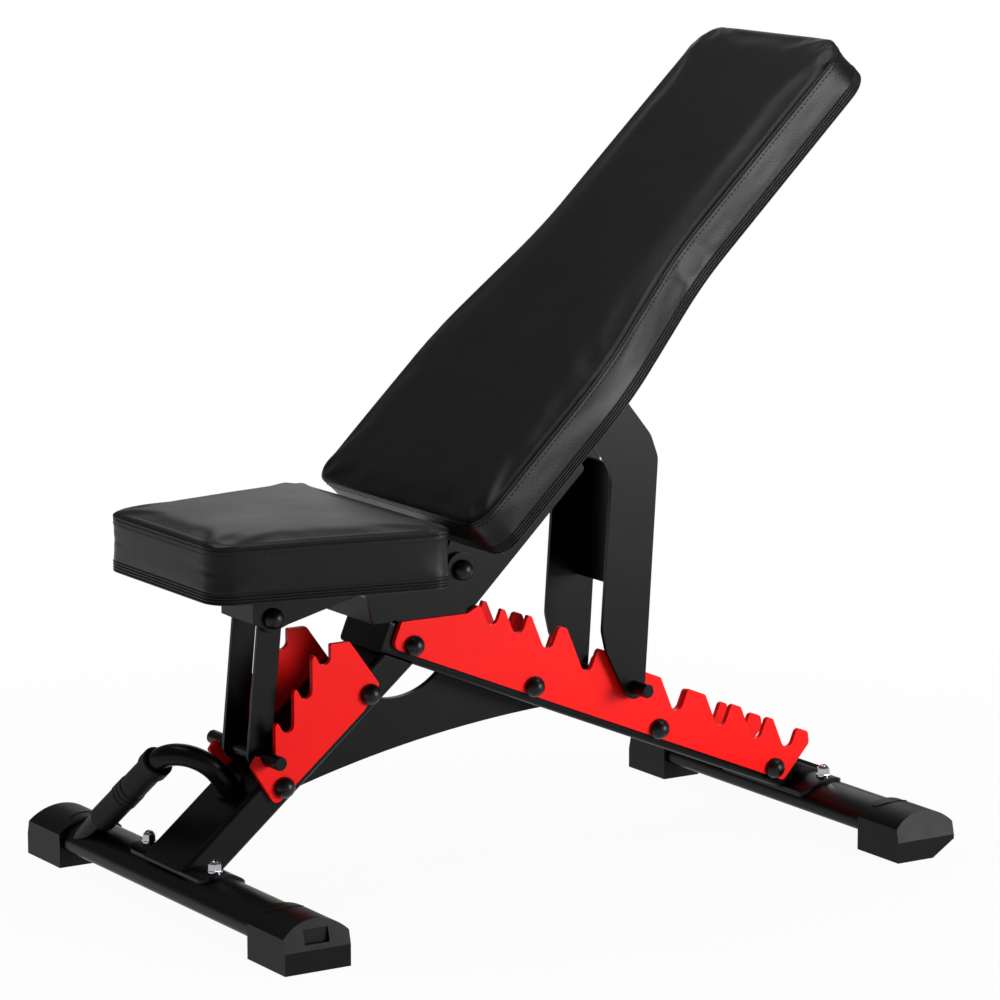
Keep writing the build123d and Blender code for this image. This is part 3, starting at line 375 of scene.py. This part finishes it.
def ring_index(across, along):
    """Index of each ring point inside the patch grid, in ring order."""
    grid = np.arange((along + 1) * (across + 1)).reshape(along + 1, across + 1)
    return np.concatenate([grid[:-1, 0], grid[-1, :-1], grid[:0:-1, -1], grid[0, :0:-1]])


def pad_profile(thickness, band, ribs, seam, start):
    """Inset and height of a pad's side, from foot to top edge, with the number of the seam's row.

    The foot is a band of round ribs, each inset - sqrt(sin) of its own height; the side draws in by 1 mm,
    swells to the seam, dips 0.9 mm in it and rolls over a quarter circle to the top.
    """
    turn = np.linspace(0, ribs, ribs * 6 + 1)
    foot_z = turn * band / ribs
    foot_in = start + 1.5 - 1.5 * np.sqrt(np.abs(np.sin(pi * turn)))
    side_z = np.linspace(band + 0.8, thickness - seam - 1.2, 16)
    rise = (side_z - side_z[0]) / (side_z[-1] - side_z[0])
    side_in = start + 0.7 + 1.0 * np.sin(pi * np.clip(rise * 1.05, 0, 1)) ** 0.7
    seam_z = thickness - seam + np.array([-0.7, 0.0, 0.7])
    seam_in = start + np.array([0.9, 1.7, 0.8])
    roll = np.linspace(0.12, 1.0, 9) * pi / 2
    roll_z = thickness - seam + 1.0 + (seam - 1.0) * np.sin(roll)
    roll_in = start + 0.3 + 9.0 * (1 - np.cos(roll)) ** 1.25
    inset = np.concatenate([foot_in, side_in, seam_in, roll_in])
    height = np.concatenate([foot_z, side_z, seam_z, roll_z])
    return inset, height, len(foot_z) + len(side_z) + 1


def pad_surface(edge, normals, across, along, inset, height, crown):
    """Closed pad: point(i, j) = edge(i) - inset(j) * normal(i) at height(j), with patches below and on top.

    The top patch is raised by crown * (1 - a^4) * (1 - b^4), a and b running -1 to 1 across and along it.
    The lower patch rises by UNDER_LIFT in the same way.
    """
    n = len(edge)
    m = len(inset)
    flat = edge[None] - inset[:, None, None] * normals[None]
    side = np.concatenate([flat, np.broadcast_to(height[:, None, None], (m, n, 1))], 2)
    row = np.arange(m - 1)[:, None] * n
    i = np.arange(n)[None]
    j = (i + 1) % n
    quads = [np.stack([row + i, row + j, row + n + j, row + n + i], -1).reshape(-1, 4)]
    points = [side.reshape(-1, 3)]
    total = m * n
    a = np.abs(np.linspace(-1, 1, along + 1))[:, None]
    b = np.abs(np.linspace(-1, 1, across + 1))[None]
    ring = ring_index(across, along)
    cell = np.arange((along + 1) * (across + 1)).reshape(along + 1, across + 1)
    corners = np.stack([cell[:-1, :-1], cell[1:, :-1], cell[1:, 1:], cell[:-1, 1:]], -1).reshape(-1, 4)
    for level, lift in ((m - 1, crown), (0, UNDER_LIFT)):
        patch = coons(side[level], across, along)
        patch[..., 2] += lift * (1 - a**4) * (1 - b**4)
        inner = np.setdiff1d(cell.ravel(), ring)
        index = np.empty(cell.size, dtype=int)
        index[ring] = level * n + np.arange(n)
        index[inner] = total + np.arange(len(inner))
        points.append(patch.reshape(-1, 3)[inner])
        total += len(inner)
        quads.append(index[corners] if level else index[corners][:, ::-1])
    return np.concatenate(points), np.concatenate(quads)


def swell(piece, held, cap):
    """Cloth with pressure over the foam: runs 20 frames, then keeps each point's move, cut to cap in mm.

    held is the weight, 1 to 0, with which each point is pinned.
    """
    start = np.empty(len(piece.data.vertices) * 3)
    piece.data.vertices.foreach_get("co", start)
    group = piece.vertex_groups.new(name="held")
    for weight in (1.0, 0.5):
        group.add(np.flatnonzero(held >= weight).tolist(), weight, "ADD")
    cloth = piece.modifiers.new("swell", "CLOTH")
    cloth.settings.quality = 5
    cloth.settings.mass = 0.3
    cloth.settings.tension_stiffness = 25
    cloth.settings.compression_stiffness = 25
    cloth.settings.bending_stiffness = 8.0
    cloth.settings.use_pressure = True
    cloth.settings.uniform_pressure_force = 3.0
    cloth.settings.vertex_group_mass = "held"
    cloth.settings.effector_weights.gravity = 0
    cloth.collision_settings.use_collision = False
    cloth.point_cache.frame_start = 1
    cloth.point_cache.frame_end = 20
    scene = bpy.context.scene
    for number in range(1, 21):
        scene.frame_set(number)
    ready = piece.evaluated_get(bpy.context.evaluated_depsgraph_get())
    moved = np.empty_like(start)
    ready.data.vertices.foreach_get("co", moved)
    piece.modifiers.remove(cloth)
    piece.vertex_groups.remove(group)
    scene.frame_set(1)
    step = (moved - start).reshape(-1, 3)
    size = np.linalg.norm(step, axis=1, keepdims=True)
    limit = cap * MM
    step = step * (limit * np.tanh(size / limit) / np.maximum(size, 1e-9))
    piece.data.vertices.foreach_set("co", (start.reshape(-1, 3) + step).ravel())
    piece.data.update()


def tube(path, radius, sides, closed):
    """Round bar along a path: point(i, k) = path(i) + radius * (cos k * side(i) + sin k * lift(i))."""
    ahead = np.roll(path, -1, 0) - np.roll(path, 1, 0)
    if not closed:
        ahead[0] = path[1] - path[0]
        ahead[-1] = path[-1] - path[-2]
    ahead = unit(ahead)
    hint = np.where(np.abs(ahead[:, 2:3]) > 0.9, [[1.0, 0, 0]], [[0, 0, 1.0]])
    side = unit(np.cross(ahead, hint))
    lift = np.cross(side, ahead)
    k = np.linspace(0, 2 * pi, sides, endpoint=False)
    r = np.broadcast_to(np.asarray(radius, float), (len(path),))[:, None, None]
    around = np.cos(k)[None, :, None] * side[:, None] + np.sin(k)[None, :, None] * lift[:, None]
    shell = path[:, None] + r * around
    n = len(path)
    rows = n if closed else n - 1
    i = np.arange(rows)[:, None]
    a = np.arange(sides)[None]
    b = (a + 1) % sides
    j = (i + 1) % n
    quads = np.stack([i * sides + a, i * sides + b, j * sides + b, j * sides + a], -1).reshape(-1, 4)
    return shell.reshape(-1, 3), quads


def stitches(path, away, pitch, length, thick):
    """Row of thread stitches on a closed path: each an ellipsoid with its long axis along the path.

    point(u, v) = centre + length/2 cos u * ahead + thick/2 sin u (cos v * away + sin v * across).
    """
    loop = np.vstack([path, path[:1]])
    walk = np.concatenate([[0], np.cumsum(np.linalg.norm(np.diff(loop, axis=0), axis=1))])
    count = int(walk[-1] / pitch)
    s = np.arange(count) * walk[-1] / count

    def sample(values):
        """Values at the stitches, by straight runs between the path's points."""
        return np.stack([np.interp(s, walk, values[:, k]) for k in range(3)], 1)

    centre = sample(loop)
    ahead = unit(sample(np.roll(loop[:-1], -1, 0)[np.r_[0 : len(path), 0]]) - centre + 1e-9)
    normal = unit(sample(np.vstack([away, away[:1]])))
    across = np.cross(ahead, normal)
    u = np.linspace(0.15, pi - 0.15, 5)[:, None]
    v = np.linspace(0, 2 * pi, 6, endpoint=False)[None]
    lengthways = np.broadcast_to(np.cos(u), (5, 6)) * length / 2
    outwards = np.sin(u) * np.cos(v) * thick / 2
    sideways = np.sin(u) * np.sin(v) * thick / 2
    grow = np.stack([lengthways, outwards, sideways], -1)
    basis = np.stack([ahead, normal, across], 1)
    points = centre[:, None, None] + np.einsum("uvk,ckx->cuvx", grow, basis)
    i = np.arange(4)[:, None]
    a = np.arange(6)[None]
    b = (a + 1) % 6
    one = np.stack([i * 6 + a, i * 6 + b, i * 6 + 6 + b, i * 6 + 6 + a], -1).reshape(-1, 4)
    ends = np.array([[0, 3, 2, 1], [0, 5, 4, 3], [24, 25, 26, 27], [24, 27, 28, 29]])
    one = np.vstack([one, ends])
    quads = one[None] + (np.arange(count) * 30)[:, None, None]
    return points.reshape(-1, 3), quads.reshape(-1, 4)


def to_place(points, origin, along, up):
    """Pad coordinates (along, across, up) in mm to the part's own frame."""
    basis = np.array([along, (0.0, 1.0, 0.0), up])
    return np.asarray(origin) + points @ basis


def make_pad(name, node, body, corners, radii, counts, across, along, thickness, crown, place, wrinkle):
    """A sewn pad: shell, pressure over the foam, then the top seam and its stitches on the swollen shell."""
    sizes = bpy.context.scene.bench_sizes
    edge, normals = outline(corners, radii, counts)
    inset, height, seam_row = pad_profile(thickness, sizes.band_height, sizes.rib_count, sizes.seam_drop, 0.6)
    points, quads = pad_surface(edge, normals, across, along, inset, height, crown)
    n = len(edge)
    rows = len(inset)
    points[: rows * n] += wrinkle(edge, normals, inset, height, thickness).reshape(-1, 3)
    piece = mesh_object(name, to_place(points, *place), quads, "leather", None)
    # The board holds the leather at the foot, and the sewn seam holds it round the top.
    held = np.clip((sizes.band_height + 3.0 - points[:, 2]) / 3.0, 0, 1)
    held = np.maximum(held, np.abs(points[:, 2] - thickness + sizes.seam_drop) < 2.5)
    swell(piece, held, sizes.swell)
    co = np.empty(len(piece.data.vertices) * 3)
    piece.data.vertices.foreach_get("co", co)
    shell = co.reshape(-1, 3) / MM
    smooth = piece.modifiers.new("smooth", "SUBSURF")
    smooth.levels = smooth.render_levels = 1
    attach(piece, body)
    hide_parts(node)
    grid = shell[: rows * n].reshape(rows, n, 3)
    out = to_place(np.concatenate([normals, np.zeros((n, 1))], 1), (0, 0, 0), *place[1:])
    seam = grid[seam_row] + 0.35 * out
    cord = mesh_object(name + "_seam", *tube(seam, 0.75, 8, True), "leather", body)
    under = (grid[seam_row - 4] * 0.5 + grid[seam_row - 3] * 0.5) + 0.15 * out
    row = stitches(under, out, sizes.stitch_pitch, 4.2, 1.1)
    thread = mesh_object(name + "_stitches", *row, "thread", body)
    return piece, cord, thread


class BENCH_OT_finishes(bpy.types.Operator):
    """Gives every steel, plastic and plated piece of the frame its finish."""

    bl_idname = "bench.finishes"
    bl_label = "Frame finishes"

    def execute(self, context):
        slots = {row["node"]: row["material_slot"] for row in frame["record"]["subparts"]}
        for node, obj in frame["nodes"].items():
            obj.data.materials.clear()
            obj.data.materials.append(finish(slots[node]))
        return {"FINISHED"}


class BENCH_OT_seat_pad(bpy.types.Operator):
    """Sews the seat pad: narrow front, wide rear, flat top with a rolled edge."""

    bl_idname = "bench.seat_pad"
    bl_label = "Seat pad"

    def execute(self, context):
        sizes = context.scene.bench_sizes
        front, rear = 15.0, 292.0
        front_half, rear_half = 126.0, 177.0
        corners = [(front, -front_half), (rear, -rear_half), (rear, rear_half), (front, front_half)]
        corners = [(x + FRONT, y) for x, y in corners]
        across, along = 64, 56

        def wrinkle(edge, normals, inset, height, thickness):
            """Shallow creases at the front corners: 0.5 mm sin(2 pi height / 13 mm) fading over 30 mm."""
            near = np.exp(-(((np.abs(edge[:, 1]) - front_half + 22) / 16) ** 2))
            near = near * np.exp(-((np.minimum(edge[:, 0] - FRONT - front, 60) / 14) ** 2))
            tall = np.sin(pi * np.clip((height - 18) / (thickness - 34), 0, 1)) ** 2
            ripple = 0.55 * np.sin(2 * pi * height / 13.0) * tall
            move = ripple[:, None, None] * near[None, :, None] * normals[None]
            return np.concatenate([move, np.zeros(move.shape[:2] + (1,))], 2)

        place = ((0.0, 0.0, SEAT_UNDERSIDE), (1.0, 0.0, 0.0), (0.0, 0.0, 1.0))
        radii = [33.0, 22.0, 22.0, 33.0]
        counts = [along, across, along, across]
        make_pad(
            "seat_pad", "seat_cushion", "seat", corners, radii, counts,
            across, along, sizes.seat_thickness, 4.0, place, wrinkle,
        )
        return {"FINISHED"}


class BENCH_OT_back_pad(bpy.types.Operator):
    """Sews the back pad: wide at the seat, tapering to a narrower head end."""

    bl_idname = "bench.back_pad"
    bl_label = "Back pad"

    def execute(self, context):
        sizes = context.scene.bench_sizes
        low, top = 9.0, 734.0
        low_half, top_half = 179.0, 140.0
        taper_start, taper_end = 240.0, 410.0
        corners = [
            (low, -low_half), (taper_start, -low_half), (taper_end, -top_half), (top, -top_half),
            (top, top_half), (taper_end, top_half), (taper_start, low_half), (low, low_half),
        ]
        radii = [26.0, 380.0, 380.0, 40.0, 40.0, 380.0, 380.0, 26.0]
        across, along = 56, 128
        counts = [along, 0, 0, across, along, 0, 0, across]

        def wrinkle(edge, normals, inset, height, thickness):
            """Slow waves in the drawn side: 0.35 mm sin(2 pi length / 90 mm), none at foot and top."""
            tall = np.sin(pi * np.clip((height - 16) / (thickness - 30), 0, 1)) ** 2
            wave = 0.35 * np.sin(2 * pi * edge[:, 0] / 90.0 + edge[:, 1] / 60.0)
            move = tall[:, None, None] * wave[None, :, None] * normals[None]
            return np.concatenate([move, np.zeros(move.shape[:2] + (1,))], 2)

        along_dir = (cos(BACK_ANGLE), 0.0, sin(BACK_ANGLE))
        up_dir = (-sin(BACK_ANGLE), 0.0, cos(BACK_ANGLE))
        foot = BACK_FACE - sizes.back_thickness
        origin = (BACK_AXLE[0] + foot * up_dir[0], 0.0, BACK_AXLE[1] + foot * up_dir[2])
        pieces = make_pad(
            "back_pad", "back_cushion", "back", corners, radii, counts,
            across, along, sizes.back_thickness, 2.5, (origin, along_dir, up_dir), wrinkle,
        )
        for piece in pieces:
            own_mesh(piece)
        return {"FINISHED"}


class BENCH_OT_grip(bpy.types.Operator):
    """Moulds the ringed rubber grip on the carrying handle."""

    bl_idname = "bench.grip"
    bl_label = "Ringed grip"

    def execute(self, context):
        sizes = context.scene.bench_sizes
        node = frame["nodes"]["handle_grip"]
        co = np.empty(len(node.data.vertices) * 3)
        node.data.vertices.foreach_get("co", co)
        co = co.reshape(-1, 3) / MM
        middle = (co.min(0) + co.max(0)) / 2
        # The longest direction of the sleeve's own points is its axis.
        axis = np.linalg.svd(co - co.mean(0), full_matrices=False)[2][0]
        axis = axis * np.sign(axis[1])
        run = (co - middle) @ axis
        start, end = run.min(), run.max()
        inner, outer, flange = 12.6, 16.0, 18.6
        t = np.linspace(start, end, 320)
        # Collar at the bend, then a plain sleeve with three rings midway: outer + 0.7 - 1.8 (1 - |sin|)^4.
        rise = (t - start) - 0.44 * (end - start)
        wave = np.abs(np.sin(pi * rise / sizes.ring_pitch))
        ring = outer + 0.7 - 1.8 * (1 - wave) ** 4
        inside = (rise > 0) & (rise < 3 * sizes.ring_pitch)
        collar = np.clip((15.0 - (t - start)) / 1.0, 0, 1) * np.clip(0.5 + (t - start) / 1.6, 0, 1)
        foot = np.clip((end - t) / 3.0, 0, 1)
        radius = np.where(inside, ring, outer - 0.2) + (flange - outer) * collar
        radius = radius - 2.4 * (1 - np.sqrt(1 - (1 - foot) ** 2))
        t = np.concatenate([[start, start], t, [end, end]])
        radius = np.concatenate([[inner, outer + 0.8], radius, [outer - 3.0, inner]])
        path = middle + t[:, None] * axis
        hint = np.array([0, 0, 1.0])
        side = unit(np.cross(axis, hint))
        lift = np.cross(side, axis)
        k = np.linspace(0, 2 * pi, 48, endpoint=False)
        around = np.cos(k)[:, None] * side + np.sin(k)[:, None] * lift
        points = path[:, None] + radius[:, None, None] * around[None]
        i = np.arange(len(t) - 1)[:, None]
        a = np.arange(48)[None]
        b = (a + 1) % 48
        quads = np.stack([i * 48 + a, i * 48 + 48 + a, i * 48 + 48 + b, i * 48 + b], -1).reshape(-1, 4)
        close = np.stack([(len(t) - 1) * 48 + a, a, b, (len(t) - 1) * 48 + b], -1).reshape(-1, 4)
        piece = mesh_object("ringed_grip", points.reshape(-1, 3), np.vstack([quads, close]), "rubber", "base")
        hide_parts("handle_grip")
        return {"FINISHED"}


class BENCH_OT_caps(bpy.types.Operator):
    """Moulds the curved bead on top of each end cap and the dark plate in each front recess."""

    bl_idname = "bench.caps"
    bl_label = "End cap details"

    def execute(self, context):
        u = np.linspace(0.0, pi, 41)
        arch = (CAP_HALF**2 + CAP_RISE**2) / (2 * CAP_RISE)
        for x, inner, end in ((FRONT + CAP_HALF, 219.0, "front"), (-FRONT - CAP_HALF, 198.5, "rear")):
            for side, hand in ((-1, "left"), (1, "right")):
                # Half an ellipse, 25 by 17 mm, on the arch: z = top - arch + sqrt(arch^2 - across^2).
                across = 25.0 * np.cos(u)
                z = CAP_TOP - arch + np.sqrt(arch**2 - across**2)
                path = np.stack([x + across, side * (inner + 3.0 + 17.0 * np.sin(u)), z], 1)
                radius = 0.02 + 1.1 * np.sqrt(np.clip(np.sin(u), 0, 1))
                name = end + "_cap_bead_" + hand
                mesh_object(name, *tube(path, radius, 10, False), "black_plastic", "base")
        low = np.array([FRONT + CAP_HALF - 14.6, 293.0, 30.4])
        high = np.array([FRONT + CAP_HALF + 14.6, 293.5, 45.6])
        pick = np.array(np.unravel_index(np.arange(8), (2, 2, 2))).T
        faces = np.array([[0, 1, 3, 2], [4, 6, 7, 5], [0, 4, 5, 1], [2, 3, 7, 6], [0, 2, 6, 4], [1, 5, 7, 3]])
        for side, hand in ((-1, "left"), (1, "right")):
            corners = np.where(pick == 1, high, low) * [1, side, 1]
            turned = faces if side > 0 else faces[:, ::-1]
            piece = mesh_object("cap_recess_plate_" + hand, corners, turned, "rubber", "base")
            piece.data.polygons.foreach_set("use_smooth", np.zeros(6, dtype=bool))
        return {"FINISHED"}


class BENCH_OT_stage(bpy.types.Operator):
    """Sets the white floor, the soft studio lamps and the camera."""

    bl_idname = "bench.stage"
    bl_label = "Studio"

    def execute(self, context):
        scene = context.scene
        scene.view_settings.view_transform = "Standard"
        white = linear(scene.bench_colours.floor)
        mesh = bpy.data.meshes.new("floor")
        reach = 30.0
        square = [(-reach, -reach, 0), (reach, -reach, 0), (reach, reach, 0), (-reach, reach, 0)]
        mesh.from_pydata(square, [], [(0, 1, 2, 3)])
        floor = bpy.data.objects.new("floor", mesh)
        scene.collection.objects.link(floor)
        material = bpy.data.materials.new("seamless_paper")
        material.use_nodes = True
        tree = material.node_tree
        tree.nodes.clear()
        paper = add(tree, "ShaderNodeBsdfDiffuse", {"Color": (0.6, 0.6, 0.6, 1.0)})
        glow = add(tree, "ShaderNodeEmission", {"Color": white, "Strength": 1.0})
        ray = add(tree, "ShaderNodeLightPath")
        # The paper keeps the shadow near the bench and runs out to plain white 1.5 m away from it.
        place = add(tree, "ShaderNodeTexCoord").outputs["Object"]
        far = add(tree, "ShaderNodeVectorMath", {"operation": "LENGTH"}, {0: place})
        bare = add(
            tree,
            "ShaderNodeMapRange",
            {"From Min": 0.4, "From Max": 1.5, "To Min": 0.95, "To Max": 1.0},
            {"Value": far.outputs["Value"]},
        )
        direct = add(
            tree,
            "ShaderNodeMath",
            {"operation": "MAXIMUM"},
            {0: ray.outputs["Is Camera Ray"], 1: ray.outputs["Is Glossy Ray"]},
        )
        seen = add(
            tree,
            "ShaderNodeMath",
            {"operation": "MULTIPLY"},
            {0: direct.outputs[0], 1: bare.outputs["Result"]},
        )
        mixed = add(
            tree,
            "ShaderNodeMixShader",
            None,
            {0: seen.outputs[0], 1: paper.outputs[0], 2: glow.outputs[0]},
        )
        add(tree, "ShaderNodeOutputMaterial", None, {"Surface": mixed.outputs[0]})
        mesh.materials.append(material)

        world = bpy.data.worlds.new("studio")
        scene.world = world
        world.use_nodes = True
        tree = world.node_tree
        tree.nodes.clear()
        ray = add(tree, "ShaderNodeLightPath")
        clear = add(
            tree,
            "ShaderNodeMath",
            {"operation": "MAXIMUM"},
            {0: ray.outputs["Is Camera Ray"], 1: ray.outputs["Is Transmission Ray"]},
        )
        fill = add(tree, "ShaderNodeBackground", {"Color": (1, 1, 1, 1), "Strength": 0.17})
        back = add(tree, "ShaderNodeBackground", {"Color": (1, 1, 1, 1), "Strength": 1.0})
        mixed = add(
            tree,
            "ShaderNodeMixShader",
            None,
            {0: clear.outputs[0], 1: fill.outputs[0], 2: back.outputs[0]},
        )
        add(tree, "ShaderNodeOutputWorld", None, {"Surface": mixed.outputs[0]})

        aim = Vector((0.0, 0.0, 0.4))
        for name, spot, size, power in (
            ("side_softbox", (2.4, -3.4, 0.95), 1.8, 152.0),
            ("top_softbox", (-0.4, 0.6, 3.6), 2.6, 60.0),
            ("rim_softbox", (2.3, 3.4, 1.9), 2.4, 14.0),
            ("edge_softbox", (1.6, -0.8, 3.3), 0.9, 22.0),
        ):
            lamp = bpy.data.lights.new(name, "AREA")
            lamp.shape = "DISK"
            lamp.size = size
            lamp.energy = power
            obj = bpy.data.objects.new(name, lamp)
            obj.location = spot
            obj.rotation_euler = (aim - Vector(spot)).to_track_quat("-Z", "Y").to_euler()
            scene.collection.objects.link(obj)

        camera = bpy.data.cameras.new("camera")
        camera.sensor_width = 36.0
        camera.lens = 164.7
        camera.clip_end = 100.0
        obj = bpy.data.objects.new("camera", camera)
        obj.location = (-2.727, -4.324, 1.357)
        obj.rotation_euler = (radians(90.0 - 10.42), 0.0, radians(-32.29))
        scene.collection.objects.link(obj)
        scene.camera = obj
        return {"FINISHED"}


class BENCH_PT_panel(bpy.types.Panel):
    """Lists the bench's sizes, colours and operators."""

    bl_idname = "BENCH_PT_panel"
    bl_label = "Weight bench"
    bl_space_type = "VIEW_3D"
    bl_region_type = "UI"
    bl_category = "Bench"

    def draw(self, context):
        for group in (context.scene.bench_sizes, context.scene.bench_colours):
            for name in group.__annotations__:
                self.layout.prop(group, name)
        for operator in OPERATORS:
            self.layout.operator(operator.bl_idname)


OPERATORS = (
    BENCH_OT_finishes,
    BENCH_OT_seat_pad,
    BENCH_OT_back_pad,
    BENCH_OT_grip,
    BENCH_OT_caps,
    BENCH_OT_stage,
)
CLASSES = (BenchSizes, BenchColours, *OPERATORS, BENCH_PT_panel)


def register():
    for cls in CLASSES:
        bpy.utils.register_class(cls)
    bpy.types.Scene.bench_sizes = bpy.props.PointerProperty(type=BenchSizes)
    bpy.types.Scene.bench_colours = bpy.props.PointerProperty(type=BenchColours)


def unregister():
    del bpy.types.Scene.bench_colours
    del bpy.types.Scene.bench_sizes
    for cls in reversed(CLASSES):
        bpy.utils.unregister_class(cls)


def main():
    register()
    bpy.ops.bench.finishes()
    bpy.ops.bench.seat_pad()
    bpy.ops.bench.back_pad()
    bpy.ops.bench.grip()
    bpy.ops.bench.caps()
    bpy.ops.bench.stage()


if __name__ == "__main__":
    main()
